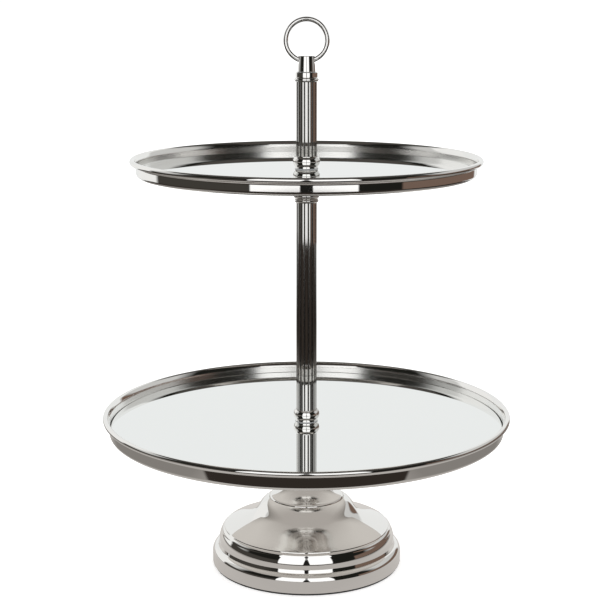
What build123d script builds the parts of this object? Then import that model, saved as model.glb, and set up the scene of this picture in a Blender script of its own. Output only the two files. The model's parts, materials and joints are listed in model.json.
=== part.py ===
from build123d import *
import os
from math import cos, radians, sin, sqrt

# Two-tier cake stand, in millimetres. +Z is up, the origin is the centre of the foot's underside,
# and the ring handle stands in the X-Z plane. Every piece is turned, spun or drawn about the Z axis.

# ---- stack-up, from the table upward ----
PAD_THICK = 1.6
FOOT_SEAT_Z = 104.6          # flat top of the pedestal, which carries the lower tray
GASKET_THICK = 1.0
SHEET = 0.8                  # steel sheet that the trays are spun from
LOWER_CORE_THICK = 2.7
UPPER_CORE_THICK = 0.8
GLASS_THICK = 2.5
GLASS_EDGE = 0.5             # bevel round each mirror
POST_WASHER_THICK = 0.4
LOWER_POST_LENGTH = 185.0    # collar underside to the seat that carries the upper tray
UPPER_POST_LENGTH = 69.3     # collar underside to the top of the head
FINIAL_WASHER_THICK = 0.3

# ---- working clearances ----
THREAD_CLEARANCE = 0.05      # stud in tapped hole, on the radius
PRESS_CLEARANCE = 0.05       # pieces glued or pressed into each other, on the radius
PASS_CLEARANCE = 0.4         # stud through a drilled hole, on the radius
GLASS_CLEARANCE = 0.40       # mirror inside the pan wall, on the radius
BORE_CLEARANCE = 1.2         # stud through the trays and gaskets, on the radius
WEIGHT_CLEARANCE = 1.3       # weight inside the foot, on the radius
WIRE_CLEARANCE = 0.10        # ring wire in its cross hole
TIP_CLEARANCE = 1.0          # free length past the end of a stud

# ---- pedestal foot ----
FLANGE_RADIUS = 71.8
FLANGE_WALL_TOP = 9.8
FLANGE_ROUND_RADIUS = 5.8    # rounding over the flange
FLANGE_ROUND_ANGLE = 75.0    # how far the rounding turns from upright
COVE_RISE = 1.9              # run-up between the flange and the step
STEP_INSET = 5.2             # step wall in from the flange
STEP_WALL_HEIGHT = 2.6
STEP_SWELL_RISE = 6.0        # swelling part of the step wall
STEP_SWELL_RUN = 1.9
STEP_RIM_RISE = 2.5          # rounding over the step
STEP_RIM_RUN = 2.0
RISER_HEIGHT = 0.6           # fine upright edge inside each rounding
RISER_RUN = 0.2
CREASE = 0.35                # foot of the neck under the edge of the shoulder
SWEEP_RISE = 11.9            # step rim to the start of the shoulder
SHOULDER_WIDTH = 10.4
SHOULDER_RISE = 10.5
SHOULDER_RADIUS = 28.6       # inner edge of the shoulder
FOOT_LEDGE_DROP = 2.7        # ledge for the neck, under the top of the shoulder
FOOT_LEDGE_WIDTH = 5.25
FOOT_WALL = 2.4
FOOT_TOP_THICK = 6.0
NECK_FOOT_BEAD = 2.0         # rounded edge of the foot of the neck
NECK_RADIUS = 11.6
NECK_WALL = 3.2
NECK_WAIST_DROP = 20.6       # waist under the tray seat
NECK_BEAD_PROUD = 2.6
NECK_BEAD_HALF = 1.9
SEAT_RADIUS = 15.5
SEAT_EDGE = 1.8
PAD_INSET = 1.1              # how far the pad stays inside the flange
WEIGHT_THICK = 9.0
WEIGHT_BORE = 16.0

# ---- trays ----
LOWER_RIM_RADIUS = 152.4
UPPER_RIM_RADIUS = 128.5
LOWER_WALL_HEIGHT = 9.3
UPPER_WALL_HEIGHT = 7.4
ROLL_RADIUS = 2.0            # rolled edge of the rim
LIP_GAP = 1.2                # wall top to the underside of the roll
LIP_WIDTH = 4.3              # rim edge out from the wall
WALL_TAPER = 0.2             # wall foot in from the wall top
FLOOR_BEND = 2.6             # outside radius of the bend between floor and wall
GASKET_RADIUS = 14.0

# ---- fluted posts ----
REED_COUNT = 16
TUBE_RADIUS = 7.7            # over the crests of the reeds
TUBE_WALL = 1.1              # crest to bore
REED_RADIUS = 2.6
COLLAR_HEIGHT = 8.9
COLLAR_PROUD = 2.2           # bead out from the tube
COLLAR_FOOT_PROUD = 0.8
COLLAR_FLOOR = 1.2
COLLAR_SPARE = 1.0           # stud through the collar floor, on the radius
PLUG_LENGTH = 15.0
SPIGOT_LENGTH = 9.0
HEAD_BEAD_PROUD = 1.3
HEAD_BEAD_HEIGHT = 3.1
HEAD_BAND_PROUD = 0.5
HEAD_BAND_HEIGHT = 3.8
HUB_BEAD_PROUD = 2.05
HUB_BEAD_HEIGHT = 4.0
HUB_HEIGHT = 19.6            # bead underside to seat
HUB_WAIST_PROUD = 0.7
HUB_SEAT_PROUD = 7.3
HUB_SEAT_EDGE = 1.4

# ---- studs and the bolt in the foot ----
STUD_RADIUS = 3.0
STUD_REACH = 10.0            # thread inside the post above the tray
STUD_ROOT = 12.0             # thread fixed in the head below the tray
BOLT_HEAD_ACROSS_FLATS = 10.0
BOLT_HEAD_HEIGHT = 4.0
LOCK_WASHER_WIDTH = 2.6
LOCK_WASHER_THICK = 1.2
LOCK_WASHER_SLIT = 1.0

# ---- finial ----
FERRULE_RADIUS = 6.6
FERRULE_TAPER = 0.65
FERRULE_COVER = 0.6          # metal over the mouths of the cross hole
FERRULE_EDGE = 0.3
FERRULE_STUD_RADIUS = 2.5
FERRULE_STUD_REACH = 8.0
FERRULE_STUD_ROOT = 3.6
RING_RADIUS = 14.9           # to the middle of the wire
WIRE_RADIUS = 1.72
WIRE_DROP = 0.4              # lowest point of the wire under the middle of its cross hole
RING_HOLE_Z = 7.8            # middle of the cross hole above the ferrule's foot

# ---- sizes that follow ----
TRAY_BORE = STUD_RADIUS + BORE_CLEARANCE
TUBE_BORE = TUBE_RADIUS - TUBE_WALL
COLLAR_FOOT_RADIUS = TUBE_RADIUS + COLLAR_FOOT_PROUD
STEP_RADIUS = FLANGE_RADIUS - STEP_INSET
FLANGE_TOP_Z = FLANGE_WALL_TOP + FLANGE_ROUND_RADIUS * sin(radians(FLANGE_ROUND_ANGLE))
STEP_FOOT_Z = FLANGE_TOP_Z + RISER_HEIGHT + COVE_RISE
STEP_SWELL_Z = STEP_FOOT_Z + STEP_WALL_HEIGHT
STEP_RIM_Z = STEP_SWELL_Z + STEP_SWELL_RISE + STEP_RIM_RISE
SWEEP_FOOT_Z = STEP_RIM_Z + RISER_HEIGHT
SHOULDER_FOOT_Z = SWEEP_FOOT_Z + SWEEP_RISE
SHOULDER_TOP_Z = SHOULDER_FOOT_Z + SHOULDER_RISE
FOOT_LEDGE_Z = SHOULDER_TOP_Z - FOOT_LEDGE_DROP
FOOT_LEDGE_BORE = SHOULDER_RADIUS - CREASE - FOOT_LEDGE_WIDTH
STEP_INSIDE = STEP_RADIUS - STEP_SWELL_RUN - FOOT_WALL
NECK_BORE = NECK_RADIUS - NECK_WALL
NECK_WAIST_Z = FOOT_SEAT_Z - NECK_WAIST_DROP


def turned(*outline):
    """Solid of revolution about Z from a closed outline of (radius, height) stops.

    A plain stop ends a straight stretch, [through, end] an arc, and [pull, pull, end] a free curve.
    """
    here = outline[0]
    edges = []
    for stop in outline[1:] + outline[:1]:
        if isinstance(stop, tuple):
            edges.append(Line(here, stop))
            here = stop
            continue
        stretch = ThreePointArc(here, *stop) if len(stop) == 2 else Bezier(here, *stop)
        edges.append(stretch)
        here = stop[-1]
    return revolve(Plane.XZ * make_face(edges), Axis.Z)


def disc(radius, bore, low, high):
    """Flat washer or disc between two heights."""
    return turned((bore, low), (radius, low), (radius, high), (bore, high))


def rod(radius, low, high, tip=0.5):
    """Round rod about Z with both ends chamfered."""
    return turned(
        (0, low),
        (radius - tip, low),
        (radius, low + tip),
        (radius, high - tip),
        (radius - tip, high),
        (0, high),
    )


def save(solid, name):
    """Write one piece under its node name."""
    solid.label = name
    export_step(solid, f"parts/{name}.step")


def foot_shell():
    """Cast pedestal: flange, step, sweep and shoulder, hollow from below, with a ledge on top."""
    turn = radians(FLANGE_ROUND_ANGLE)
    round_centre = FLANGE_RADIUS - FLANGE_ROUND_RADIUS
    flange_top = round_centre + FLANGE_ROUND_RADIUS * cos(turn)
    swell_top = STEP_RADIUS - STEP_SWELL_RUN
    rim = swell_top - STEP_RIM_RUN
    rim_low = STEP_RIM_Z - STEP_RIM_RISE
    shoulder_foot = SHOULDER_RADIUS + SHOULDER_WIDTH
    run = rim - RISER_RUN - shoulder_foot
    edge = SHOULDER_RADIUS - CREASE
    return turned(
        (FLANGE_RADIUS - FOOT_WALL, PAD_THICK),
        (FLANGE_RADIUS - 0.4, PAD_THICK),
        (FLANGE_RADIUS, PAD_THICK + 0.4),
        (FLANGE_RADIUS, FLANGE_WALL_TOP),
        [
            (
                round_centre + FLANGE_ROUND_RADIUS * cos(turn / 2),
                FLANGE_WALL_TOP + FLANGE_ROUND_RADIUS * sin(turn / 2),
            ),
            (flange_top, FLANGE_TOP_Z),
        ],
        (flange_top - RISER_RUN, FLANGE_TOP_Z + RISER_HEIGHT),
        (STEP_RADIUS, STEP_FOOT_Z),
        (STEP_RADIUS, STEP_SWELL_Z),
        [
            (STEP_RADIUS - 0.33 * STEP_SWELL_RUN, STEP_SWELL_Z + 0.52 * STEP_SWELL_RISE),
            (swell_top, rim_low),
        ],
        [
            (swell_top - 0.38 * STEP_RIM_RUN, rim_low + 0.62 * STEP_RIM_RISE),
            (rim, STEP_RIM_Z),
        ],
        (rim - RISER_RUN, SWEEP_FOOT_Z),
        [
            (rim - 0.28 * run, SWEEP_FOOT_Z + 0.25 * SWEEP_RISE),
            (shoulder_foot + 0.28 * run, SHOULDER_FOOT_Z - 0.53 * SWEEP_RISE),
            (shoulder_foot, SHOULDER_FOOT_Z),
        ],
        [
            (shoulder_foot - 0.25 * SHOULDER_WIDTH, SHOULDER_FOOT_Z + 0.25 * SHOULDER_RISE),
            (SHOULDER_RADIUS + 0.49 * SHOULDER_WIDTH, SHOULDER_TOP_Z - 0.2 * SHOULDER_RISE),
            (SHOULDER_RADIUS, SHOULDER_TOP_Z),
        ],
        (edge, SHOULDER_TOP_Z - CREASE),
        (edge, FOOT_LEDGE_Z),
        (FOOT_LEDGE_BORE, FOOT_LEDGE_Z),
        (FOOT_LEDGE_BORE, FOOT_LEDGE_Z - FOOT_WALL),
        (shoulder_foot - 5.6, SHOULDER_FOOT_Z - 1.2),
        (shoulder_foot + 0.2 * run, SHOULDER_FOOT_Z - 0.84 * SWEEP_RISE),
        (STEP_INSIDE, STEP_RIM_Z - FOOT_WALL - STEP_RIM_RISE),
        (STEP_INSIDE, FLANGE_WALL_TOP + 2.0),
        (FLANGE_RADIUS - FOOT_WALL, FLANGE_WALL_TOP - 0.5),
    )


def foot_neck():
    """Trumpet neck that stands on the ledge: waist, bead and the flat seat of the lower tray."""
    foot_radius = SHOULDER_RADIUS - CREASE - PRESS_CLEARANCE
    foot_low = SHOULDER_TOP_Z - CREASE
    foot_edge_z = foot_low + NECK_FOOT_BEAD
    rise = NECK_WAIST_Z - foot_edge_z
    bead_low = NECK_WAIST_Z + 1.0
    bead_high = bead_low + 2 * NECK_BEAD_HALF
    bead_root = NECK_RADIUS + NECK_BEAD_PROUD - NECK_BEAD_HALF
    roof = FOOT_SEAT_Z - FOOT_TOP_THICK
    hole = STUD_RADIUS + PASS_CLEARANCE
    return turned(
        (FOOT_LEDGE_BORE, FOOT_LEDGE_Z),
        (foot_radius, FOOT_LEDGE_Z),
        (foot_radius, foot_low + 0.1 * NECK_FOOT_BEAD),
        [
            (foot_radius - 0.18 * NECK_FOOT_BEAD, foot_low + 0.55 * NECK_FOOT_BEAD),
            (foot_radius - 0.65 * NECK_FOOT_BEAD, foot_edge_z),
        ],
        [
            (SHOULDER_RADIUS - 10.5, foot_edge_z + 0.1 * rise),
            (NECK_RADIUS + 0.6, foot_edge_z + 0.42 * rise),
            (NECK_RADIUS, NECK_WAIST_Z),
        ],
        (bead_root, bead_low),
        [
            (NECK_RADIUS + NECK_BEAD_PROUD, (bead_low + bead_high) / 2),
            (bead_root, bead_high),
        ],
        (NECK_RADIUS + 0.4, bead_high + 0.6),
        [
            (NECK_RADIUS + 0.4, FOOT_SEAT_Z - 8.0),
            (SEAT_RADIUS - 2.0, FOOT_SEAT_Z - SEAT_EDGE - 2.0),
            (SEAT_RADIUS, FOOT_SEAT_Z - SEAT_EDGE),
        ],
        (SEAT_RADIUS, FOOT_SEAT_Z - 0.4),
        (SEAT_RADIUS - 0.4, FOOT_SEAT_Z),
        (hole, FOOT_SEAT_Z),
        (hole, roof),
        (NECK_BORE, roof),
        (NECK_BORE, foot_edge_z + 0.62 * rise),
        (NECK_BORE + 4.0, foot_edge_z + 0.2 * rise),
    )


def pan(underside, rim_radius, wall_height):
    """Spun tray: floor, steep wall, flared lip and a rolled edge."""
    wall_top = rim_radius - LIP_WIDTH
    wall_foot = wall_top - WALL_TAPER
    roll_radius = rim_radius - ROLL_RADIUS
    lip_z = underside + wall_height
    roll_low = lip_z + LIP_GAP
    roll_z = roll_low + ROLL_RADIUS
    floor = underside + SHEET
    outer_turn = FLOOR_BEND * (1 - sqrt(0.5))
    inner_bend = FLOOR_BEND - SHEET
    inner_turn = inner_bend * (1 - sqrt(0.5))
    inner_foot = wall_foot - SHEET
    inner_top = wall_top - SHEET
    return turned(
        (TRAY_BORE, underside),
        (wall_foot - FLOOR_BEND, underside),
        [
            (wall_foot - outer_turn, underside + outer_turn),
            (wall_foot, underside + FLOOR_BEND),
        ],
        (wall_top, lip_z),
        [
            (wall_top, lip_z + 0.6 * LIP_GAP),
            (roll_radius - 1.2, roll_low),
            (roll_radius, roll_low),
        ],
        [(rim_radius, roll_z), (roll_radius, roll_z + ROLL_RADIUS)],
        [
            (roll_radius - 0.52 * ROLL_RADIUS, roll_z + 0.85 * ROLL_RADIUS),
            (roll_radius - 0.89 * ROLL_RADIUS, roll_z + 0.45 * ROLL_RADIUS),
        ],
        [
            (inner_top + 0.3, roll_z - 0.55 * ROLL_RADIUS),
            (inner_top, roll_z - 0.8 * ROLL_RADIUS),
            (inner_top, lip_z),
        ],
        (inner_foot, floor + inner_bend),
        [
            (inner_foot - inner_turn, floor + inner_turn),
            (inner_foot - inner_bend, floor),
        ],
        (TRAY_BORE, floor),
    )


def tray(name, underside, rim_radius, wall_height, core_thick):
    """Pan, core board and mirror of one tier. Returns the height of the mirror's face."""
    floor = underside + SHEET
    core_top = floor + core_thick
    mirror_top = core_top + GLASS_THICK
    inner_foot = rim_radius - LIP_WIDTH - WALL_TAPER - SHEET
    inner_bend = FLOOR_BEND - SHEET
    core_radius = inner_foot - inner_bend
    # the glass starts inside the bend when the core board is thinner than the bend is high
    depth = max(inner_bend - core_thick, 0)
    glass_radius = core_radius + sqrt(inner_bend**2 - depth**2) - GLASS_CLEARANCE
    save(pan(underside, rim_radius, wall_height), f"{name}_pan")
    save(disc(core_radius, TRAY_BORE, floor, core_top), f"{name}_core")
    glass = turned(
        (TRAY_BORE, core_top),
        (glass_radius, core_top),
        (glass_radius, mirror_top - GLASS_EDGE),
        (glass_radius - GLASS_EDGE, mirror_top),
        (TRAY_BORE, mirror_top),
    )
    save(glass, f"{name}_mirror")
    return mirror_top


def reeded_tube(low, high):
    """Drawn tube with rounded reeds side by side all round."""
    spacing = 360 / REED_COUNT
    centre = TUBE_RADIUS - REED_RADIUS
    # the arcs of neighbouring reeds meet halfway between their crests
    along = centre * cos(radians(spacing / 2))
    groove = along + sqrt(along**2 - centre**2 + REED_RADIUS**2)
    crests = [Vector(TUBE_RADIUS, 0).rotate(Axis.Z, k * spacing) for k in range(REED_COUNT)]
    grooves = [
        Vector(groove, 0).rotate(Axis.Z, (k - 0.5) * spacing) for k in range(REED_COUNT + 1)
    ]
    arcs = [ThreePointArc(grooves[k], crests[k], grooves[k + 1]) for k in range(REED_COUNT)]
    section = make_face(arcs) - Circle(TUBE_BORE)
    return Pos(0, 0, low) * extrude(section, high - low)


def post_collar(low):
    """Round bead that the tube stands in, with a floor that traps the plug."""
    high = low + COLLAR_HEIGHT
    bore = TUBE_RADIUS + PRESS_CLEARANCE
    bead_low = low + 1.4
    bead_high = high - 0.5
    rim = bore + 0.6
    crown = TUBE_RADIUS + COLLAR_PROUD
    hole = STUD_RADIUS + COLLAR_SPARE
    return turned(
        (hole, low),
        (COLLAR_FOOT_RADIUS - 0.2, low),
        (COLLAR_FOOT_RADIUS, low + 0.2),
        (COLLAR_FOOT_RADIUS, bead_low),
        [(crown, (bead_low + bead_high) / 2), (rim, bead_high)],
        (rim, high),
        (bore, high),
        (bore, low + COLLAR_FLOOR),
        (hole, low + COLLAR_FLOOR),
    )


def post_plug(low):
    """Tapped plug fixed in the foot of the tube."""
    radius = TUBE_BORE - PRESS_CLEARANCE
    return disc(radius, STUD_RADIUS + THREAD_CLEARANCE, low, low + PLUG_LENGTH)


def upper_head(low, high):
    """Bead and band that close the upper tube, tapped from above for the finial."""
    tap = FERRULE_STUD_RADIUS + THREAD_CLEARANCE
    spigot = TUBE_BORE - PRESS_CLEARANCE
    bead_top = low + HEAD_BEAD_HEIGHT
    band = TUBE_RADIUS + HEAD_BAND_PROUD
    bead_root = band - 0.3
    bead = TUBE_RADIUS + HEAD_BEAD_PROUD
    return turned(
        (0, low - SPIGOT_LENGTH),
        (spigot, low - SPIGOT_LENGTH),
        (spigot, low),
        (bead_root, low),
        [(bead, low + HEAD_BEAD_HEIGHT / 2), (bead_root, bead_top)],
        (band, bead_top + 0.3),
        (band, high - 0.3),
        (band - 0.3, high),
        (tap, high),
        (tap, high - FERRULE_STUD_REACH - TIP_CLEARANCE),
        (0, high - FERRULE_STUD_REACH - TIP_CLEARANCE),
    )


def lower_head(low, high):
    """Two beads and a flared hub that close the lower tube and carry the upper tray."""
    spigot = TUBE_BORE - PRESS_CLEARANCE
    tap = STUD_RADIUS + PRESS_CLEARANCE
    first = TUBE_RADIUS + HEAD_BEAD_PROUD
    first_root = first - 1.0
    second = TUBE_RADIUS + HUB_BEAD_PROUD
    waist = TUBE_RADIUS + HUB_WAIST_PROUD
    seat = TUBE_RADIUS + HUB_SEAT_PROUD
    second_low = low + HEAD_BEAD_HEIGHT
    second_high = second_low + HUB_BEAD_HEIGHT
    return turned(
        (0, low - SPIGOT_LENGTH),
        (spigot, low - SPIGOT_LENGTH),
        (spigot, low),
        (first_root, low),
        [(first, low + HEAD_BEAD_HEIGHT / 2), (first_root, second_low)],
        [(second, second_low + HUB_BEAD_HEIGHT / 2), (waist, second_high)],
        [
            (waist, second_high + 5.0),
            (seat - 4.0, high - HUB_SEAT_EDGE - 1.5),
            (seat, high - HUB_SEAT_EDGE),
        ],
        (seat, high - 0.3),
        (seat - 0.3, high),
        (tap, high),
        (tap, high - STUD_ROOT),
        (0, high - STUD_ROOT),
    )


def foot_bolt(top):
    """Hex-head bolt that stands up through the lower tray."""
    under_head = FOOT_SEAT_Z - FOOT_TOP_THICK - LOCK_WASHER_THICK
    head_low = under_head - BOLT_HEAD_HEIGHT
    hexagon = RegularPolygon(BOLT_HEAD_ACROSS_FLATS / 2, 6, major_radius=False)
    head = Pos(0, 0, head_low) * extrude(hexagon, BOLT_HEAD_HEIGHT)
    return head + rod(STUD_RADIUS, head_low + 1.0, top)


def lock_washer():
    """Split spring washer under the bolt head."""
    high = FOOT_SEAT_Z - FOOT_TOP_THICK
    bore = STUD_RADIUS + PASS_CLEARANCE
    radius = bore + LOCK_WASHER_WIDTH
    slit = Box(radius, LOCK_WASHER_SLIT, LOCK_WASHER_THICK * 3)
    return disc(radius, bore, high - LOCK_WASHER_THICK, high) - Pos(radius, 0, high) * slit


def ferrule(low):
    """Tapered cap with a bell-mouthed cross hole for the ring and a tapped foot."""

    def hole_radius(x):
        """Reach of the wire's inner side from the middle of the hole, with its clearance."""
        inner_rise = RING_RADIUS - sqrt((RING_RADIUS - WIRE_RADIUS) ** 2 - x**2)
        return inner_rise - WIRE_DROP + WIRE_CLEARANCE

    top_radius = FERRULE_RADIUS - FERRULE_TAPER
    high = low + RING_HOLE_Z + hole_radius(top_radius) + FERRULE_COVER
    tap = FERRULE_STUD_RADIUS + PRESS_CLEARANCE
    body = turned(
        (tap, low),
        (FERRULE_RADIUS, low),
        (top_radius, high - FERRULE_EDGE),
        (top_radius - FERRULE_EDGE, high),
        (0, high),
        (0, low + FERRULE_STUD_ROOT),
        (tap, low + FERRULE_STUD_ROOT),
    )
    throat = WIRE_RADIUS + WIRE_DROP + WIRE_CLEARANCE
    throat_drop = RING_RADIUS - WIRE_RADIUS - 2 * WIRE_DROP
    throat_end = sqrt((RING_RADIUS - WIRE_RADIUS) ** 2 - throat_drop**2)
    mouth_end = FERRULE_RADIUS + 1.5
    middle = (throat_end + mouth_end) / 2
    mouth = (mouth_end, hole_radius(mouth_end))
    flare = (middle, hole_radius(middle))
    start = (throat_end, throat)
    half = [
        Line((0, 0), (0, throat)),
        Line((0, throat), start),
        ThreePointArc(start, flare, mouth),
        Line(mouth, (mouth_end, 0)),
        Line((mouth_end, 0), (0, 0)),
    ]
    right = revolve(Plane.XZ * make_face(half), Axis.X)
    hole = right + mirror(right, Plane.YZ)
    return body - Pos(0, 0, low + RING_HOLE_Z) * hole


os.makedirs("parts", exist_ok=True)

# pedestal foot
save(foot_shell(), "foot_shell")
save(foot_neck(), "foot_neck")
save(disc(FLANGE_RADIUS - PAD_INSET, 0.0, 0.0, PAD_THICK), "foot_pad")
weight_radius = STEP_INSIDE - WEIGHT_CLEARANCE
save(disc(weight_radius, WEIGHT_BORE, PAD_THICK, PAD_THICK + WEIGHT_THICK), "foot_weight")
save(lock_washer(), "foot_lock_washer")

# lower tray
lower_tray_z = FOOT_SEAT_Z + GASKET_THICK
save(disc(GASKET_RADIUS, TRAY_BORE, FOOT_SEAT_Z, lower_tray_z), "lower_tray_gasket")
lower_mirror_z = tray(
    "lower_tray",
    lower_tray_z,
    LOWER_RIM_RADIUS,
    LOWER_WALL_HEIGHT,
    LOWER_CORE_THICK,
)

# lower post
lower_post_z = lower_mirror_z + POST_WASHER_THICK
save(disc(COLLAR_FOOT_RADIUS, TRAY_BORE, lower_mirror_z, lower_post_z), "lower_post_washer")
save(foot_bolt(lower_post_z + STUD_REACH), "foot_bolt")
hub_seat_z = lower_post_z + LOWER_POST_LENGTH
hub_z = hub_seat_z - HUB_HEIGHT
save(post_collar(lower_post_z), "lower_post_collar")
save(reeded_tube(lower_post_z + COLLAR_FLOOR, hub_z), "lower_post_tube")
save(post_plug(lower_post_z + COLLAR_FLOOR), "lower_post_plug")
save(lower_head(hub_z, hub_seat_z), "lower_post_head")

# upper tray
upper_tray_z = hub_seat_z + GASKET_THICK
save(disc(GASKET_RADIUS, TRAY_BORE, hub_seat_z, upper_tray_z), "upper_tray_gasket")
upper_mirror_z = tray(
    "upper_tray",
    upper_tray_z,
    UPPER_RIM_RADIUS,
    UPPER_WALL_HEIGHT,
    UPPER_CORE_THICK,
)

# upper post
upper_post_z = upper_mirror_z + POST_WASHER_THICK
save(disc(COLLAR_FOOT_RADIUS, TRAY_BORE, upper_mirror_z, upper_post_z), "upper_post_washer")
save(rod(STUD_RADIUS, hub_seat_z - STUD_ROOT, upper_post_z + STUD_REACH), "upper_tray_stud")
head_top_z = upper_post_z + UPPER_POST_LENGTH
head_z = head_top_z - HEAD_BAND_HEIGHT - HEAD_BEAD_HEIGHT
save(post_collar(upper_post_z), "upper_post_collar")
save(reeded_tube(upper_post_z + COLLAR_FLOOR, head_z), "upper_post_tube")
save(post_plug(upper_post_z + COLLAR_FLOOR), "upper_post_plug")
save(upper_head(head_z, head_top_z), "upper_post_head")

# finial
ferrule_z = head_top_z + FINIAL_WASHER_THICK
washer_bore = FERRULE_STUD_RADIUS + PASS_CLEARANCE
save(disc(FERRULE_RADIUS, washer_bore, head_top_z, ferrule_z), "finial_washer")
stud_low = ferrule_z - FINIAL_WASHER_THICK - FERRULE_STUD_REACH
save(rod(FERRULE_STUD_RADIUS, stud_low, ferrule_z + FERRULE_STUD_ROOT), "ferrule_stud")
save(ferrule(ferrule_z), "ferrule")
ring_z = ferrule_z + RING_HOLE_Z - WIRE_DROP + RING_RADIUS
save(Pos(0, 0, ring_z) * Rot(90, 0, 0) * Torus(RING_RADIUS, WIRE_RADIUS), "ring_handle")
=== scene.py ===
import json
from math import atan2, cos, hypot, pi, radians, sin, sqrt, tau

import bpy
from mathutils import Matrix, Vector


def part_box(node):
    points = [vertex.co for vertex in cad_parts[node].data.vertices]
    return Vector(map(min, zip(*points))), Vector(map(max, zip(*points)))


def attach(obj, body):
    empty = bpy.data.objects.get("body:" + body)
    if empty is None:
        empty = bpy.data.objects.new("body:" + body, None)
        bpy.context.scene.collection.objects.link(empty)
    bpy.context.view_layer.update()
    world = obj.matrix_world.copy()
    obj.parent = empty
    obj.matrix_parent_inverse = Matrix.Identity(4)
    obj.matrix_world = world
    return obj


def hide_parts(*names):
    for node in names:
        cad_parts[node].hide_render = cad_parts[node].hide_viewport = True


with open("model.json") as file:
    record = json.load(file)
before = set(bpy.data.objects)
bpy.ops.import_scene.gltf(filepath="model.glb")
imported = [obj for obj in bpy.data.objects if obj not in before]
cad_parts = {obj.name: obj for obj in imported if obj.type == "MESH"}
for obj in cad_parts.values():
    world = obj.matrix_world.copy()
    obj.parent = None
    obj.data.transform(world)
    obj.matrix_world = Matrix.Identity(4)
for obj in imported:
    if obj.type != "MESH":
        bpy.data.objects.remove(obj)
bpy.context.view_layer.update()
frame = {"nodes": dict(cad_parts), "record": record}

# Two-tier cake stand: pedestal foot, two mirror trays, two reeded posts and a ring handle.
# Outlines are in millimetres, and everything else is in metres.

MM = 0.001
FLAT_MARGIN = 0.3            # millimetres from a turn to the flat part of a face


# ---------------------------------------------------------------- outlines

def arc_points(start, through, end, spacing):
    """Points along the round stretch from start over through to end, without the start."""
    (ax, ay), (bx, by), (cx, cy) = start, through, end
    d = 2 * (ax * (by - cy) + bx * (cy - ay) + cx * (ay - by))
    a2, b2, c2 = ax * ax + ay * ay, bx * bx + by * by, cx * cx + cy * cy
    ox = (a2 * (by - cy) + b2 * (cy - ay) + c2 * (ay - by)) / d
    oy = (a2 * (cx - bx) + b2 * (ax - cx) + c2 * (bx - ax)) / d
    radius = hypot(ax - ox, ay - oy)
    first = atan2(ay - oy, ax - ox)
    over = (atan2(by - oy, bx - ox) - first) % tau
    sweep = (atan2(cy - oy, cx - ox) - first) % tau
    if over > sweep:
        sweep -= tau
    count = max(6, round(abs(sweep) * radius / spacing))
    return [
        (ox + radius * cos(first + sweep * k / count), oy + radius * sin(first + sweep * k / count))
        for k in range(1, count + 1)
    ]


def curve_points(start, pull_a, pull_b, end, spacing):
    """Points along the free curve that leaves start towards pull_a and reaches end from pull_b."""
    legs = [start, pull_a, pull_b, end]
    length = sum(hypot(q[0] - p[0], q[1] - p[1]) for p, q in zip(legs, legs[1:]))
    count = max(8, round(length / spacing))
    points = []
    for k in range(1, count + 1):
        t = k / count
        weights = ((1 - t) ** 3, 3 * (1 - t) ** 2 * t, 3 * (1 - t) * t * t, t**3)
        points.append(tuple(sum(w * p[i] for w, p in zip(weights, legs)) for i in (0, 1)))
    return points


def straight_points(start, end):
    """The end of a straight stretch, with a turn near each end that keeps a long face flat."""
    length = hypot(end[0] - start[0], end[1] - start[1])
    shares = (1.0,) if length < 4 * FLAT_MARGIN else (FLAT_MARGIN / length, 1 - FLAT_MARGIN / length, 1.0)
    return [tuple(p + share * (q - p) for p, q in zip(start, end)) for share in shares]


def outline(stops, spacing=0.45):
    """Points of an outline in metres from stops in millimetres.

    A plain stop ends a straight stretch, [through, end] an arc, and [pull, pull, end] a free curve.
    """
    here = stops[0]
    points = [here]
    for stop in stops[1:]:
        if isinstance(stop, tuple):
            points += straight_points(here, stop)
        elif len(stop) == 2:
            points += arc_points(here, stop[0], stop[1], spacing)
        else:
            points += curve_points(here, stop[0], stop[1], stop[2], spacing)
        here = points[-1]
    return [(r * MM, z * MM) for r, z in points]


# ---------------------------------------------------------------- making pieces

def deselect():
    """Leave nothing selected, so that an operator acts on the new primitive alone."""
    if bpy.context.object and bpy.context.object.mode != "OBJECT":
        bpy.ops.object.mode_set(mode="OBJECT")
    bpy.ops.object.select_all(action="DESELECT")


def draw(points, across="XZ"):
    """One vertex drawn along a list of points, in the X-Z plane or in a level plane."""
    deselect()
    bpy.ops.mesh.primitive_plane_add(size=MM)
    bpy.ops.object.mode_set(mode="EDIT")
    bpy.ops.mesh.select_all(action="SELECT")
    bpy.ops.mesh.merge(type="CENTER")
    here = Vector()
    first = True
    for point in points:
        there = Vector((point[0], 0, point[1])) if across == "XZ" else Vector(point)
        step = {"value": there - here}
        if first:
            bpy.ops.transform.translate(**step)
            first = False
        else:
            bpy.ops.mesh.extrude_region_move(TRANSFORM_OT_translate=step)
        here = there
    return bpy.context.object


def finish_mesh(piece, name, bevel, smooth_angle=38):
    """Close seams, face outwards, soften the sharp turns and shade smooth."""
    bpy.ops.mesh.select_all(action="SELECT")
    bpy.ops.mesh.remove_doubles(threshold=1e-6)
    bpy.ops.mesh.normals_make_consistent(inside=False)
    bpy.ops.object.mode_set(mode="OBJECT")
    piece.name = name
    piece.data.name = name
    if bevel:
        modifier = piece.modifiers.new("soft edges", "BEVEL")
        modifier.width = bevel
        modifier.segments = 3
        modifier.limit_method = "ANGLE"
        modifier.angle_limit = radians(28)
        bpy.ops.object.modifier_apply(modifier=modifier.name)
    bpy.ops.object.shade_smooth_by_angle(angle=radians(smooth_angle))


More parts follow.
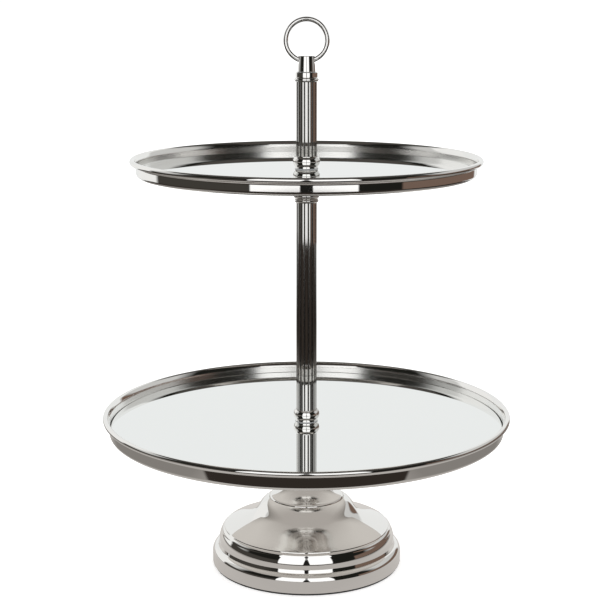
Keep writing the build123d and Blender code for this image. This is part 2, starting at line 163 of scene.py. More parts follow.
def spin_piece(name, stops, segments=256, bevel=0.12 * MM, spacing=0.45):
    """A turned or spun piece: its outline spun once round the Z axis. The outline is closed."""
    piece = draw(outline(stops + [stops[0]], spacing))
    bpy.ops.mesh.select_all(action="SELECT")
    bpy.ops.mesh.spin(steps=segments, angle=tau, center=(0, 0, 0), axis=(0, 0, 1))
    finish_mesh(piece, name, bevel)
    return piece


def place(piece, body, slot, *nodes):
    """The piece moves with a body, takes its finish from a slot and stands for CAD nodes."""
    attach(piece, body)
    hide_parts(*nodes)
    piece.data.materials.append(FINISHES[slot])


def size(node):
    """(radius, low, high) of a round node, in millimetres."""
    low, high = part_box(node)
    return high[0] / MM, low[2] / MM, high[2] / MM


# ---------------------------------------------------------------- finishes

class Value:
    """A shader socket that can be used in arithmetic."""

    def __init__(self, tree, socket):
        self.tree = tree
        self.socket = socket

    def math(self, operation, *values):
        node = self.tree.nodes.new("ShaderNodeMath")
        node.operation = operation
        for slot_, value in zip(node.inputs, values):
            if isinstance(value, Value):
                self.tree.links.new(value.socket, slot_)
            else:
                slot_.default_value = value
        return Value(self.tree, node.outputs[0])

    def __add__(self, other):
        return self.math("ADD", self, other)

    def __radd__(self, other):
        return self.math("ADD", other, self)

    def __sub__(self, other):
        return self.math("SUBTRACT", self, other)

    def __rsub__(self, other):
        return self.math("SUBTRACT", other, self)

    def __mul__(self, other):
        return self.math("MULTIPLY", self, other)

    def __rmul__(self, other):
        return self.math("MULTIPLY", other, self)

    def __truediv__(self, other):
        return self.math("DIVIDE", self, other)

    def __pow__(self, other):
        return self.math("POWER", self, other)

    def limited(self, low, high):
        return self.math("MINIMUM", self.math("MAXIMUM", self, low), high)

    def step(self, edge, softness):
        """0 below edge and 1 above it, with a soft crossing."""
        return ((self - edge) / softness + 0.5).limited(0.0, 1.0)


class Finish:
    """A material and a plain way to add nodes to it."""

    def __init__(self, name):
        self.material = bpy.data.materials.new(name)
        self.material.use_nodes = True
        self.tree = self.material.node_tree
        self.tree.nodes.clear()

    def add(self, kind, settings=None, output=0, **sockets):
        """A node of a kind, with its settings first and then its sockets' values or links."""
        node = self.tree.nodes.new(kind)
        for key, value in (settings or {}).items():
            if key == "stops":
                self.set_stops(node.color_ramp, value)
            else:
                setattr(node, key, value)
        for key, value in sockets.items():
            self.feed(node, key, value)
        return Value(self.tree, node.outputs[output])

    def set_stops(self, ramp, stops):
        while len(ramp.elements) > len(stops):
            ramp.elements.remove(ramp.elements[-1])
        while len(ramp.elements) < len(stops):
            ramp.elements.new(1.0)
        for element, (position, colour) in zip(ramp.elements, stops):
            element.position = position
            element.color = (*colour, 1.0)

    def feed(self, node, key, value):
        """Give a socket, named with _ for a space or by number as in i0, a value or a link."""
        name = key.replace("_", " ")
        socket = node.inputs[int(key[1:])] if key[0] == "i" and key[1:].isdigit() else node.inputs[name]
        if isinstance(value, Value):
            self.tree.links.new(value.socket, socket)
        else:
            socket.default_value = value

    def place_on_object(self):
        """(vector, x, y, z) of the point in the object's own coordinates."""
        where = self.add("ShaderNodeTexCoord", output="Object")
        parts = self.tree.nodes.new("ShaderNodeSeparateXYZ")
        self.tree.links.new(where.socket, parts.inputs[0])
        return [where] + [Value(self.tree, parts.outputs[k]) for k in range(3)]

    def vector(self, x, y, z):
        return self.add("ShaderNodeCombineXYZ", X=x, Y=y, Z=z)

    def noise(self, where, scale, detail=2.0, roughness=0.5):
        return self.add(
            "ShaderNodeTexNoise", Vector=where, Scale=scale, Detail=detail, Roughness=roughness
        )

    def mix(self, factor, first, second):
        """Two colours mixed."""
        node = self.tree.nodes.new("ShaderNodeMix")
        node.data_type = "RGBA"
        for index, value in ((0, factor), (6, first), (7, second)):
            if isinstance(value, Value):
                self.tree.links.new(value.socket, node.inputs[index])
            else:
                node.inputs[index].default_value = value if index == 0 else (*value, 1.0)
        return Value(self.tree, node.outputs[2])

    def surface(self, **sockets):
        """The Principled shader and the output."""
        shader = self.tree.nodes.new("ShaderNodeBsdfPrincipled")
        for key, value in sockets.items():
            if key == "Base_Color" and not isinstance(value, Value):
                value = (*value, 1.0)
            self.feed(shader, key, value)
        output = self.tree.nodes.new("ShaderNodeOutputMaterial")
        self.tree.links.new(shader.outputs[0], output.inputs[0])
        return self.material


SILVER = (0.905, 0.895, 0.875)
# near-black painted shade, laid into the grooves between the reeds of the tubes
PAINTED_GROOVE_SHADE = (0.05, 0.047, 0.043)


def polished(name, lines, line_height, smudge, gloss, dull_and_shade_mask=None, dulled=0.0, painted_shade=0.0):
    """Bright plating over turned or spun metal: fine lines round the axis, hairlines, handling marks.

    The mask function picks places that are dulled where the polishing wheel misses them, and places made
    darker by painted shade where shade falls in the grooves between reeds.
    """
    finish = Finish(name)
    where, x, y, z = finish.place_on_object()
    radius = (x * x + y * y) ** 0.5
    rings = finish.noise(finish.vector(radius * lines, z * lines, 0.0), 1.0, 3.0, 0.65)
    broad = finish.noise(where, 14.0, 3.0, 0.55)
    drift = finish.add(
        "ShaderNodeMapping", Vector=where, Rotation=(0.4, 0.9, 0.3), Scale=(900.0, 60.0, 500.0)
    )
    hairs = finish.noise(drift, 1.0, 2.0, 0.6)
    scratches = hairs.step(0.70, 0.06)
    marks = broad.step(0.60, 0.25)
    colour = finish.mix(marks * 0.35, SILVER, tuple(0.965 * c for c in SILVER))
    rough = gloss + marks * smudge + scratches * 0.05 + rings * 0.012
    if dull_and_shade_mask:
        dull_and_shade = dull_and_shade_mask(radius, z)
        rough = rough + dull_and_shade * dulled
        # painted shade: the masked places are made darker towards a near-black colour
        colour = finish.mix(dull_and_shade * painted_shade, colour, PAINTED_GROOVE_SHADE)
    height = rings * 0.7 + scratches * 0.3
    bump = finish.add("ShaderNodeBump", Strength=0.35, Distance=line_height, Height=height)
    return finish.surface(Base_Color=colour, Metallic=1.0, Roughness=rough, Normal=bump)


def silvered_glass(name):
    """Mirror glass: clear reflection, a faint haze of wiping and a few dust specks."""
    finish = Finish(name)
    where = finish.place_on_object()[0]
    haze = finish.noise(where, 9.0, 3.0, 0.5).step(0.55, 0.3)
    specks = finish.noise(where, 900.0, 1.0, 0.5).step(0.80, 0.03)
    colour = finish.mix(specks * 0.25, (0.930, 0.945, 0.938), (0.80, 0.81, 0.80))
    rough = 0.006 + haze * 0.012 + specks * 0.15
    bump = finish.add(
        "ShaderNodeBump", Strength=0.05, Distance=0.00002, Height=finish.noise(where, 20.0, 1.0, 0.4)
    )
    return finish.surface(Base_Color=colour, Metallic=1.0, Roughness=rough, Normal=bump)


def moulded(name, colour, grain, depth, rough, spread, metallic=0.0):
    """Grained finish for rubber, board, plastic, iron and plain steel."""
    finish = Finish(name)
    where = finish.place_on_object()[0]
    fine = finish.noise(where, grain, 4.0, 0.6)
    broad = finish.noise(where, grain * 0.08, 2.0, 0.5)
    tone = finish.mix(broad.step(0.5, 0.5), colour, tuple(0.78 * c for c in colour))
    bump = finish.add("ShaderNodeBump", Strength=0.5, Distance=depth, Height=fine)
    return finish.surface(
        Base_Color=tone, Metallic=metallic, Roughness=rough + fine * spread, Normal=bump
    )


BETWEEN_TRAYS = 0.2          # a height with the lower tray below it and the upper one above
LOWER_INNER_WALL = 0.1477
UPPER_INNER_WALL = 0.1238
GROOVE_RADIUS = 0.00760


def inside_pan(radius, z):
    """1 on the inside of either pan's wall, which is only spun and not buffed."""
    edge = LOWER_INNER_WALL + z.step(BETWEEN_TRAYS, 0.01) * (UPPER_INNER_WALL - LOWER_INNER_WALL)
    return 1 - (radius - edge).step(0.0, 0.0002)


def between_reeds(radius, z):
    """1 in the grooves of a reeded tube, which are dulled and made darker with painted shade."""
    return 1 - radius.step(GROOVE_RADIUS, 0.00006)


FINISHES = {
    "foot_metal": polished("foot metal", 2600.0, 0.0000004, 0.022, 0.024),
    "tray_metal": polished(
        "tray metal", 2200.0, 0.0000004, 0.024, 0.024, dull_and_shade_mask=inside_pan, dulled=0.16
    ),
    "turned_metal": polished("turned metal", 2600.0, 0.0000003, 0.018, 0.024),
    "tube_metal": polished(
        "tube metal",
        1200.0,
        0.0000003,
        0.018,
        0.020,
        dull_and_shade_mask=between_reeds,
        dulled=0.15,
        # the grooves between the reeds are made darker with painted shade
        painted_shade=0.85,
    ),
    "ring_metal": polished("ring metal", 1500.0, 0.00000005, 0.016, 0.14),
    "mirror_glass": silvered_glass("mirror glass"),
    "core_board": moulded("core board", (0.30, 0.20, 0.12), 900.0, 0.0001, 0.8, 0.1),
    "pad_rubber": moulded("pad rubber", (0.018, 0.018, 0.018), 2500.0, 0.0001, 0.65, 0.2),
    "gasket_rubber": moulded("gasket rubber", (0.030, 0.030, 0.030), 2500.0, 0.00008, 0.6, 0.2),
    "clear_plastic": moulded("clear plastic", (0.62, 0.64, 0.65), 1800.0, 0.00003, 0.25, 0.1),
    "weight_iron": moulded("weight iron", (0.12, 0.12, 0.13), 700.0, 0.0004, 0.7, 0.2, 0.8),
    "bolt_steel": moulded("bolt steel", (0.55, 0.55, 0.56), 3000.0, 0.00004, 0.28, 0.15, 1.0),
    "plug_brass": moulded("plug brass", (0.66, 0.48, 0.20), 3000.0, 0.00004, 0.25, 0.15, 1.0),
}

for node, piece in frame["nodes"].items():
    row = next(s for s in frame["record"]["subparts"] if s["node"] == node)
    piece.data.materials.clear()
    piece.data.materials.append(FINISHES[row["material_slot"]])


# ---------------------------------------------------------------- pedestal foot

FLANGE_WALL_TOP = 9.8
FLANGE_ROUND = 5.8
FLANGE_TURN = radians(75)
RISER_HEIGHT = 0.6
RISER_RUN = 0.2
COVE_RISE = 1.9
STEP_INSET = 5.2
STEP_WALL = 2.6
SWELL_RISE = 6.0
SWELL_RUN = 1.9
RIM_RISE = 2.5
RIM_RUN = 2.0
SWEEP_RISE = 11.9
SHOULDER_WIDTH = 10.4
SHOULDER_RISE = 10.5
CREASE = 0.35
FOOT_WALL = 2.4
LEDGE_WIDTH = 5.25
PRESS_CLEARANCE = 0.05

flange, pad_top, shoulder_z = size("foot_shell")
neck_foot, ledge_z, seat_z = size("foot_neck")
round_centre = flange - FLANGE_ROUND
flange_in = round_centre + FLANGE_ROUND * cos(FLANGE_TURN)
flange_z = FLANGE_WALL_TOP + FLANGE_ROUND * sin(FLANGE_TURN)
step = flange - STEP_INSET
step_z = flange_z + RISER_HEIGHT + COVE_RISE
swell_z = step_z + STEP_WALL
swell = step - SWELL_RUN
rim_low = swell_z + SWELL_RISE
rim = swell - RIM_RUN
rim_z = rim_low + RIM_RISE
ledge = neck_foot + PRESS_CLEARANCE
shoulder = ledge + CREASE
sweep_in = shoulder + SHOULDER_WIDTH
sweep_z = rim_z + RISER_HEIGHT
sweep_top = sweep_z + SWEEP_RISE
sweep_run = rim - RISER_RUN - sweep_in
foot_shell = spin_piece(
    "pedestal_foot",
    [
        (flange - FOOT_WALL, pad_top),
        (flange - 0.4, pad_top),
        (flange, pad_top + 0.4),
        (flange, FLANGE_WALL_TOP),
        [
            (
                round_centre + FLANGE_ROUND * cos(FLANGE_TURN / 2),
                FLANGE_WALL_TOP + FLANGE_ROUND * sin(FLANGE_TURN / 2),
            ),
            (flange_in, flange_z),
        ],
        (flange_in - RISER_RUN, flange_z + RISER_HEIGHT),
        (step, step_z),
        (step, swell_z),
        [(step - 0.33 * SWELL_RUN, swell_z + 0.52 * SWELL_RISE), (swell, rim_low)],
        [(swell - 0.38 * RIM_RUN, rim_low + 0.62 * RIM_RISE), (rim, rim_z)],
        (rim - RISER_RUN, sweep_z),
        [
            (rim - 0.28 * sweep_run, sweep_z + 0.25 * SWEEP_RISE),
            (sweep_in + 0.28 * sweep_run, sweep_top - 0.53 * SWEEP_RISE),
            (sweep_in, sweep_top),
        ],
        [
            (sweep_in - 0.25 * SHOULDER_WIDTH, sweep_top + 0.25 * SHOULDER_RISE),
            (shoulder + 0.49 * SHOULDER_WIDTH, shoulder_z - 0.2 * SHOULDER_RISE),
            (shoulder, shoulder_z),
        ],
        (ledge, shoulder_z - CREASE),
        (ledge, ledge_z),
        (ledge - LEDGE_WIDTH, ledge_z),
        (ledge - LEDGE_WIDTH, ledge_z - FOOT_WALL),
        (sweep_in - 5.6, sweep_top - 1.2),
        (sweep_in + 0.2 * sweep_run, sweep_top - 0.84 * SWEEP_RISE),
        (swell - FOOT_WALL, rim_low - FOOT_WALL),
        (swell - FOOT_WALL, FLANGE_WALL_TOP + 2.0),
        (flange - FOOT_WALL, FLANGE_WALL_TOP - 0.5),
    ],
    segments=384,
    bevel=0.08 * MM,
)
place(foot_shell, "base", "foot_metal", "foot_shell")

NECK = 11.6
NECK_WALL = 3.2
NECK_FOOT = 2.0
WAIST_DROP = 20.6
BEAD = 2.6
BEAD_HALF = 1.9
SEAT = 15.5
SEAT_EDGE = 1.8
SEAT_THICK = 6.0
BOLT_HOLE = 3.4

waist_z = seat_z - WAIST_DROP
bead_z = waist_z + 1.0 + BEAD_HALF
bead_root = NECK + BEAD - BEAD_HALF
neck_low = shoulder_z - CREASE
neck_edge_z = neck_low + NECK_FOOT
neck_rise = waist_z - neck_edge_z
foot_neck = spin_piece(
    "trumpet_neck",
    [
        (ledge - LEDGE_WIDTH, ledge_z),
        (neck_foot, ledge_z),
        (neck_foot, neck_low + 0.1 * NECK_FOOT),
        [
            (neck_foot - 0.18 * NECK_FOOT, neck_low + 0.55 * NECK_FOOT),
            (neck_foot - 0.65 * NECK_FOOT, neck_edge_z),
        ],
        [
            (shoulder - 10.5, neck_edge_z + 0.1 * neck_rise),
            (NECK + 0.6, neck_edge_z + 0.42 * neck_rise),
            (NECK, waist_z),
        ],
        (bead_root, bead_z - BEAD_HALF),
        [(NECK + BEAD, bead_z), (bead_root, bead_z + BEAD_HALF)],
        (NECK + 0.4, bead_z + BEAD_HALF + 0.6),
        [
            (NECK + 0.4, seat_z - 8.0),
            (SEAT - 2.0, seat_z - SEAT_EDGE - 2.0),
            (SEAT, seat_z - SEAT_EDGE),
        ],
        (SEAT, seat_z - 0.4),
        (SEAT - 0.4, seat_z),
        (BOLT_HOLE, seat_z),
        (BOLT_HOLE, seat_z - SEAT_THICK),
        (NECK - NECK_WALL, seat_z - SEAT_THICK),
        (NECK - NECK_WALL, neck_edge_z + 0.62 * neck_rise),
        (NECK - NECK_WALL + 4.0, neck_edge_z + 0.2 * neck_rise),
    ],
    bevel=0.08 * MM,
)
place(foot_neck, "base", "foot_metal", "foot_neck")


STUD_HOLE = 4.2              # bore of trays, gaskets and post washers
FINIAL_HOLE = 2.9
PAD_EDGE = 0.3
WASHER_EDGE = 0.1


def flat_disc(name, node, body, slot, bore, edge_size=0.15):
    """Pad, gasket or washer with broken edges."""
    radius, low, high = size(node)
    disc = spin_piece(
        name,
        [
            (bore, low),
            (radius - edge_size, low),
            (radius, low + edge_size),
            (radius, high - edge_size),
            (radius - edge_size, high),
            (bore, high),
        ],
        bevel=0.04 * MM,
    )
    place(disc, body, slot, node)


flat_disc("foot_pad_rubber", "foot_pad", "base", "pad_rubber", 0, PAD_EDGE)
flat_disc("lower_gasket", "lower_tray_gasket", "base", "gasket_rubber", STUD_HOLE)
flat_disc("upper_gasket", "upper_tray_gasket", "lower_post", "gasket_rubber", STUD_HOLE)
for name, node, body, bore in (
    ("lower_washer_disc", "lower_post_washer", "lower_washer", STUD_HOLE),
    ("upper_washer_disc", "upper_post_washer", "upper_washer", STUD_HOLE),
    ("finial_washer_disc", "finial_washer", "top_washer", FINIAL_HOLE),
):
    flat_disc(name, node, body, "clear_plastic", bore, WASHER_EDGE)


# ---------------------------------------------------------------- trays

SHEET = 0.8
ROLL = 2.0
BEND = 2.6
LIP_WIDTH = 4.3
WALL_TAPER = 0.2
GLASS_EDGE = 0.5
LOWER_WALL = 9.3
UPPER_WALL = 7.4


def tray_pan(name, node, body, wall_height):
    """Spun pan: steep wall, flared lip and a rolled edge."""
    rim_edge, low, high = size(node)
    roll, sheet, bend = ROLL, SHEET, BEND
    wall_top = rim_edge - LIP_WIDTH
    wall_foot = wall_top - WALL_TAPER
    middle = rim_edge - roll
    roll_z = high - roll
    roll_low = roll_z - roll
    lip_z = low + wall_height
    turn = bend * (1 - sqrt(0.5))
    inside = bend - sheet
    inside_turn = inside * (1 - sqrt(0.5))
    floor = low + sheet
    foot = wall_foot - sheet
    top = wall_top - sheet
    pan = spin_piece(
        name,
        [
            (STUD_HOLE, low),
            (wall_foot - bend, low),
            [(wall_foot - turn, low + turn), (wall_foot, low + bend)],
            (wall_top, lip_z),
            [(wall_top, lip_z + 0.72), (middle - 1.2, roll_low), (middle, roll_low)],
            [(rim_edge, roll_z), (middle, high)],
            [
                (middle - 0.52 * roll, roll_z + 0.85 * roll),
                (middle - 0.89 * roll, roll_z + 0.45 * roll),
            ],
            [(top + 0.3, roll_z - 0.55 * roll), (top, roll_z - 0.8 * roll), (top, lip_z)],
            (foot, floor + inside),
            [(foot - inside_turn, floor + inside_turn), (foot - inside, floor)],
            (STUD_HOLE, floor),
        ],
        segments=448,
        bevel=0.1 * MM,
        spacing=0.35,
    )
    place(pan, body, "tray_metal", node)


def tray_mirror(name, node, body):
    """Mirror disc with a ground edge and a bored centre."""
    radius, low, high = size(node)
    disc = spin_piece(
        name,
        [
            (STUD_HOLE, low),
            (radius, low),
            (radius, high - GLASS_EDGE),
            (radius - GLASS_EDGE, high),
            (STUD_HOLE, high),
        ],
        segments=384,
        bevel=0.06 * MM,
    )
    place(disc, body, "mirror_glass", node)


tray_pan("lower_pan", "lower_tray_pan", "base", LOWER_WALL)
tray_pan("upper_pan", "upper_tray_pan", "lower_post", UPPER_WALL)
tray_mirror("lower_mirror", "lower_tray_mirror", "base")
tray_mirror("upper_mirror", "upper_tray_mirror", "lower_post")


# ---------------------------------------------------------------- posts

REEDS = 16
REED_RADIUS = 2.6
REED_STEPS = 12
COLLAR_FOOT = 8.5
COLLAR_HOLE = 4.0
COLLAR_FLOOR = 1.2
COLLAR_MOUTH = 7.75
COLLAR_RIM = 8.35
SPIGOT = 6.55
SPIGOT_LENGTH = 9.0
FIRST_BEAD = 9.0
FIRST_BEAD_HEIGHT = 3.1
HEAD_BAND = 8.2
HEAD_TAP = 2.55
HEAD_TAP_DEPTH = 9.0
HUB_BEAD = 9.75
HUB_BEAD_HEIGHT = 4.0
HUB_WAIST = 8.4
HUB_SEAT = 15.0
HUB_SEAT_EDGE = 1.4
HUB_TAP = 3.05
HUB_TAP_DEPTH = 12.0


def reeded_tube(name, node, body):
    """Drawn tube with rounded reeds side by side, one of them facing the front."""
    crest, low, high = size(node)
    centre = crest - REED_RADIUS
    half = pi / REEDS
    along = centre * cos(half)
    groove = along + sqrt(along**2 - centre**2 + REED_RADIUS**2)
    reach = atan2(groove * sin(half), groove * cos(half) - centre)
    points = []
    for reed in range(REEDS):
        turn = tau * reed / REEDS
        for k in range(REED_STEPS):
            a = -reach + 2 * reach * k / REED_STEPS
            px, py = centre + REED_RADIUS * cos(a), REED_RADIUS * sin(a)
            points.append(
                (
                    (px * cos(turn) - py * sin(turn)) * MM,
                    (px * sin(turn) + py * cos(turn)) * MM,
                    low * MM,
                )
            )
    tube = draw(points + [points[0]], across="XY")
    bpy.ops.mesh.select_all(action="SELECT")
    bpy.ops.mesh.extrude_region_move(TRANSFORM_OT_translate={"value": (0, 0, (high - low) * MM)})
    finish_mesh(tube, name, 0, 22)
    place(tube, body, "tube_metal", node)


def post_collar(name, node, body):
    """Round bead at the foot of a post."""
    radius, low, high = size(node)
    bead_low, bead_high = low + 1.4, high - 0.5
    collar = spin_piece(
        name,
        [
            (COLLAR_HOLE, low),
            (COLLAR_FOOT - 0.2, low),
            (COLLAR_FOOT, low + 0.2),
            (COLLAR_FOOT, bead_low),
            [(radius, (bead_low + bead_high) / 2), (COLLAR_RIM, bead_high)],
            (COLLAR_RIM, high),
            (COLLAR_MOUTH, high),
            (COLLAR_MOUTH, low + COLLAR_FLOOR),
            (COLLAR_HOLE, low + COLLAR_FLOOR),
        ],
        segments=160,
        bevel=0.08 * MM,
        spacing=0.2,
    )
    place(collar, body, "turned_metal", node)


reeded_tube("lower_tube", "lower_post_tube", "lower_post")
reeded_tube("upper_tube", "upper_post_tube", "upper_post")
post_collar("lower_foot_bead", "lower_post_collar", "lower_post")
post_collar("upper_foot_bead", "upper_post_collar", "upper_post")

_, spigot_low, hub_top = size("lower_post_head")
first_low = spigot_low + SPIGOT_LENGTH
second_low = first_low + FIRST_BEAD_HEIGHT
waist_low = second_low + HUB_BEAD_HEIGHT
hub = spin_piece(
    "hub_under_tray",
    [
        (0, spigot_low),
        (SPIGOT, spigot_low),
        (SPIGOT, first_low),
        (FIRST_BEAD - 1.0, first_low),
        [(FIRST_BEAD, first_low + FIRST_BEAD_HEIGHT / 2), (FIRST_BEAD - 1.0, second_low)],
        [(HUB_BEAD, second_low + HUB_BEAD_HEIGHT / 2), (HUB_WAIST, waist_low)],
        [
            (HUB_WAIST, waist_low + 5.0),
            (HUB_SEAT - 4.0, hub_top - HUB_SEAT_EDGE - 1.5),
            (HUB_SEAT, hub_top - HUB_SEAT_EDGE),
        ],
        (HUB_SEAT, hub_top - 0.3),
        (HUB_SEAT - 0.3, hub_top),
        (HUB_TAP, hub_top),
        (HUB_TAP, hub_top - HUB_TAP_DEPTH),
        (0, hub_top - HUB_TAP_DEPTH),
    ],
    segments=160,
    bevel=0.08 * MM,
    spacing=0.2,
)
place(hub, "lower_post", "turned_metal", "lower_post_head")

_, spigot_low, head_top = size("upper_post_head")
bead_low = spigot_low + SPIGOT_LENGTH
bead_top = bead_low + FIRST_BEAD_HEIGHT
head = spin_piece(
    "post_head",
    [
        (0, spigot_low),
        (SPIGOT, spigot_low),
        (SPIGOT, bead_low),
        (HEAD_BAND - 0.3, bead_low),
        [(FIRST_BEAD, bead_low + FIRST_BEAD_HEIGHT / 2), (HEAD_BAND - 0.3, bead_top)],
        (HEAD_BAND, bead_top + 0.3),
        (HEAD_BAND, head_top - 0.3),
        (HEAD_BAND - 0.3, head_top),
        (HEAD_TAP, head_top),
        (HEAD_TAP, head_top - HEAD_TAP_DEPTH),
        (0, head_top - HEAD_TAP_DEPTH),
    ],
    segments=160,
    bevel=0.08 * MM,
    spacing=0.2,
)
place(head, "upper_post", "turned_metal", "upper_post_head")


# ---------------------------------------------------------------- ferrule and ring

cap_radius, cap_low, cap_high = size("ferrule")
ring_out, ring_low, ring_high = size("ring_handle")
ring_wire = (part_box("ring_handle")[1][1]) / MM
ring_mean = ring_out - ring_wire
ring_inner = ring_mean - ring_wire
ring_z = (ring_low + ring_high) / 2

WIRE_DROP = 0.4
WIRE_CLEARANCE = 0.1
CAP_TAPER = 0.65
CAP_EDGE = 0.3
CAP_TAP = 2.55
CAP_TAP_DEPTH = 3.6
hole_z = ring_low + ring_wire + WIRE_DROP
cap_top = cap_radius - CAP_TAPER
cap = spin_piece(
    "ferrule_cap",
    [
        (CAP_TAP, cap_low),
        (cap_radius, cap_low),
        (cap_top, cap_high - CAP_EDGE),
        (cap_top - CAP_EDGE, cap_high),
        (0, cap_high),
        (0, cap_low + CAP_TAP_DEPTH),
        (CAP_TAP, cap_low + CAP_TAP_DEPTH),
    ],
    segments=160,
    bevel=0.08 * MM,
    spacing=0.2,
)


def mouth(x):
    """Reach of the cross hole from its middle, so that the ring clears it while it swings."""
    return ring_mean - sqrt(ring_inner**2 - x * x) - WIRE_DROP + WIRE_CLEARANCE


throat_end = sqrt(ring_inner**2 - (ring_inner - 2 * WIRE_DROP) ** 2)
hole_end = cap_radius + 1.5
hole_stops = [throat_end + (hole_end - throat_end) * k / 10 for k in range(11)]
right = [(x, hole_z + mouth(x)) for x in hole_stops]
left = [(-x, z) for x, z in reversed(right)]
profile = [(-hole_end, hole_z)] + left + right + [(hole_end, hole_z)]
cutter = draw([(x * MM, z * MM) for x, z in profile])
bpy.ops.mesh.select_all(action="SELECT")
bpy.ops.mesh.spin(steps=96, angle=tau, center=(0, 0, hole_z * MM), axis=(1, 0, 0))
finish_mesh(cutter, "cross_hole_cutter", 0)
bore = cap.modifiers.new("cross hole", "BOOLEAN")
bore.object = cutter
bore.solver = "EXACT"
deselect()
cap.select_set(True)
bpy.context.view_layer.objects.active = cap
bpy.ops.object.modifier_apply(modifier=bore.name)
bpy.ops.object.shade_smooth_by_angle(angle=radians(30))
deselect()
cutter.select_set(True)
bpy.ops.object.delete()
place(cap, "finial", "turned_metal", "ferrule")

deselect()
bpy.ops.mesh.primitive_circle_add(
    vertices=48, radius=ring_wire * MM, location=(ring_mean * MM, 0, ring_z * MM), rotation=(pi / 2, 0, 0)
)
bpy.ops.object.transform_apply(location=True, rotation=True, scale=True)
ring = bpy.context.object
bpy.ops.object.mode_set(mode="EDIT")
bpy.ops.mesh.select_all(action="SELECT")
bpy.ops.transform.rotate(value=pi / 2, orient_axis="X", center_override=(ring_mean * MM, 0, ring_z * MM))
bpy.ops.mesh.spin(steps=256, angle=tau, center=(0, 0, ring_z * MM), axis=(0, 1, 0))
finish_mesh(ring, "ring_wire", 0)
place(ring, "ring", "ring_metal", "ring_handle")


# ---------------------------------------------------------------- stage, light and camera

def plane(name, x, y, z, half_x, half_y):
    """A level sheet of the stage."""
    deselect()
    bpy.ops.mesh.primitive_plane_add(size=2, location=(x, y, z))
    sheet = bpy.context.object
    sheet.scale = (half_x, half_y, 1)
    bpy.ops.object.transform_apply(location=True, rotation=True, scale=True)
    sheet.name = name
    return sheet


def only_in_reflections(obj):
    """Seen by polished surfaces, and by nothing else."""
    obj.visible_camera = False
    obj.visible_diffuse = False
    obj.visible_transmission = False
    obj.visible_volume_scatter = False
    obj.visible_shadow = False


floor_finish = Finish("studio floor")
where = floor_finish.place_on_object()[0]
grain = floor_finish.noise(where, 40.0, 2.0, 0.5)
floor_colour = floor_finish.mix(grain, (0.93, 0.93, 0.93), (0.96, 0.96, 0.96))
floor_material = floor_finish.surface(
    Base_Color=floor_colour, Roughness=0.9, Emission_Color=(1, 1, 1, 1), Emission_Strength=0.5
)
floor = plane("studio_floor", 0, 0, -0.0002, 12, 12)
floor.data.materials.append(floor_material)
floor.visible_glossy = False

# colours that the polished faces mirror
BACKDROP = (0.86, 0.87, 0.865)
DARK_FLOOR = (0.030, 0.024, 0.020)
TABLE_NEAR = (0.475, 0.450, 0.430)
TABLE_FAR = (0.680, 0.655, 0.630)
TABLE_FLANK = (0.24, 0.225, 0.21)
UNLIT = (0.012, 0.012, 0.010)
DIM = (0.050, 0.046, 0.040)
BROWN = (0.17, 0.115, 0.090)
SIDE_WALL = (0.60, 0.60, 0.59)
PALE_PATCH = (0.90, 0.90, 0.89)
OVERHEAD = (0.070, 0.064, 0.058)
LIGHT_PANEL = (1.15, 1.15, 1.15)
PANEL_GAP = (0.25, 0.25, 0.25)

# places on the table, and bearings in degrees from the front, to the right
TABLE_FRONT = -0.28
TABLE_BACK = 0.80
TABLE_SIDE = 0.60
WALL_RADIUS = 1.5
WALL_LOW = -0.6
WALL_TOP = 1.9
DARK_TOP = 0.42
WALL_LIT_TOP = 1.45
BACKDROP_TOP = 1.50
PANEL_LEFT = -35.5
PANEL_RIGHT = 32.5
PANEL_TOP = 1.75
PANEL_GAP_HALF = 1.6
OVERHEAD_FROM = 1.80
BROWN_FROM = 63.0
BRIGHT_SIDES_FROM = 87.5
PATCH_TO = -113.0
BACKDROP_FROM = 147.0
TRIPOD_PLACE = -1.15
TRIPOD_SHAPE = (
    (-0.088, 0.0),
    (0.088, 0.0),
    (0.050, 0.40),
    (0.042, 0.56),
    (-0.042, 0.56),
    (-0.050, 0.40),
    (-0.088, 0.0),
)


def glowing(finish, colour):
    """A surface that shows its colour without needing light."""
    return finish.surface(
        Base_Color=(0, 0, 0),
        Roughness=1.0,
        Specular_IOR_Level=0.0,
        Emission_Color=colour,
        Emission_Strength=1.0,
    )


table_finish = Finish("table in reflections")
_, x, y, z = table_finish.place_on_object()
beyond = table_finish.mix(y.step(TABLE_BACK, 0.05), DARK_FLOOR, BACKDROP)
top = table_finish.mix(y.step(0.02, 0.20), TABLE_NEAR, TABLE_FAR)
flank = x.math("ABSOLUTE", x).step(0.27, 0.16)
top = table_finish.mix(flank, top, TABLE_FLANK)
on_table = y.step(TABLE_FRONT, 0.01) * (1 - y.step(TABLE_BACK, 0.05))
on_table = on_table * x.step(-TABLE_SIDE, 0.02) * (1 - x.step(TABLE_SIDE, 0.02))
table = plane("table_in_reflections", 0, 0, -0.0001, 3, 3)
table.data.materials.append(glowing(table_finish, table_finish.mix(on_table, beyond, top)))
only_in_reflections(table)

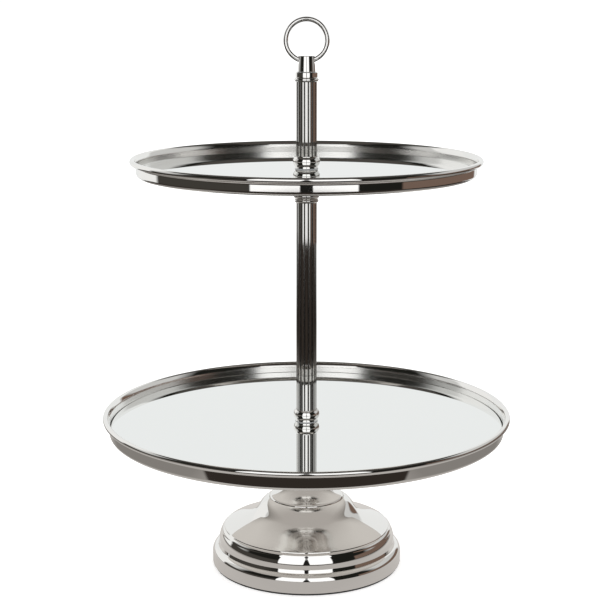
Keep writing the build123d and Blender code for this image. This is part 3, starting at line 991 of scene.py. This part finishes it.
wall_finish = Finish("studio walls")
_, x, y, z = wall_finish.place_on_object()
side = x.math("ARCTAN2", x, -1.0 * y) * (180 / pi)
off = side.math("ABSOLUTE", side)
raised = z.step(DARK_TOP, 0.10)
low_band = 1 - raised
panels = side.step(PANEL_LEFT, 1.2) * (1 - side.step(PANEL_RIGHT, 1.2))
panels = panels * z.step(0.0, 0.02) * (1 - z.step(PANEL_TOP, 0.06))
backdrop = off.step(BACKDROP_FROM, 4.0) * (1 - z.step(BACKDROP_TOP, 0.2))
brown = side.step(BROWN_FROM, 2.0) * low_band
dim_left = (1 - side.step(PANEL_LEFT, 4.0)) * low_band
bright_sides = off.step(BRIGHT_SIDES_FROM, 15.0) * raised * (1 - z.step(WALL_LIT_TOP, 0.3))
patch = (1 - side.step(PATCH_TO, 4.0)) * z.step(0.0, 0.05) * (1 - z.step(WALL_LIT_TOP, 0.3))
overhead = z.step(OVERHEAD_FROM, 0.06)
gap = side.step(-PANEL_GAP_HALF, 0.6) * (1 - side.step(PANEL_GAP_HALF, 0.6)) * panels
colour = wall_finish.mix(brown, UNLIT, BROWN)
for share, shade in (
    (dim_left, DIM),
    (bright_sides, SIDE_WALL),
    (patch, PALE_PATCH),
    (backdrop, BACKDROP),
    (overhead, OVERHEAD),
    (panels, LIGHT_PANEL),
    (gap, PANEL_GAP),
):
    colour = wall_finish.mix(share, colour, shade)
deselect()
bpy.ops.mesh.primitive_cylinder_add(
    vertices=128,
    radius=WALL_RADIUS,
    depth=WALL_TOP - WALL_LOW,
    end_fill_type="NGON",
    location=(0, 0, (WALL_TOP + WALL_LOW) / 2),
)
walls = bpy.context.object
bpy.ops.object.transform_apply(location=True, rotation=True, scale=True)
walls.name = "studio_walls"
walls.data.materials.append(glowing(wall_finish, colour))
only_in_reflections(walls)

tripod_finish = Finish("tripod in reflections")
where = tripod_finish.place_on_object()[0]
cloth = tripod_finish.noise(where, 30.0)
tripod = draw(TRIPOD_SHAPE)
bpy.ops.mesh.select_all(action="SELECT")
bpy.ops.mesh.remove_doubles(threshold=1e-6)
bpy.ops.mesh.edge_face_add()
bpy.ops.transform.translate(value=(0, TRIPOD_PLACE, 0))
bpy.ops.object.mode_set(mode="OBJECT")
tripod.name = "tripod_in_reflections"
tripod.data.materials.append(
    glowing(tripod_finish, tripod_finish.mix(cloth, (0.010, 0.010, 0.009), (0.016, 0.015, 0.014)))
)
only_in_reflections(tripod)

world = bpy.data.worlds.new("studio")
world.use_nodes = True
world.node_tree.nodes["Background"].inputs[0].default_value = (1, 1, 1, 1)
world.node_tree.nodes["Background"].inputs[1].default_value = 1.05
bpy.context.scene.world = world
bpy.context.scene.view_settings.view_transform = "Standard"

CAMERA_PLACE = (0.0, -1.0814, 0.4256)
CAMERA_PITCH = 11.80
SENSOR_WIDTH = 36.0          # millimetres
FOCAL_LENGTH = 87.38235
SIDE_SHIFT = -0.000817
camera_data = bpy.data.cameras.new("camera")
camera = bpy.data.objects.new("camera", camera_data)
bpy.context.scene.collection.objects.link(camera)
camera_data.sensor_width = SENSOR_WIDTH
camera_data.lens = FOCAL_LENGTH
camera_data.shift_x = SIDE_SHIFT
camera.location = CAMERA_PLACE
camera.rotation_euler = (radians(90 - CAMERA_PITCH), 0, 0)
camera_data.clip_end = 100
bpy.context.scene.camera = camera
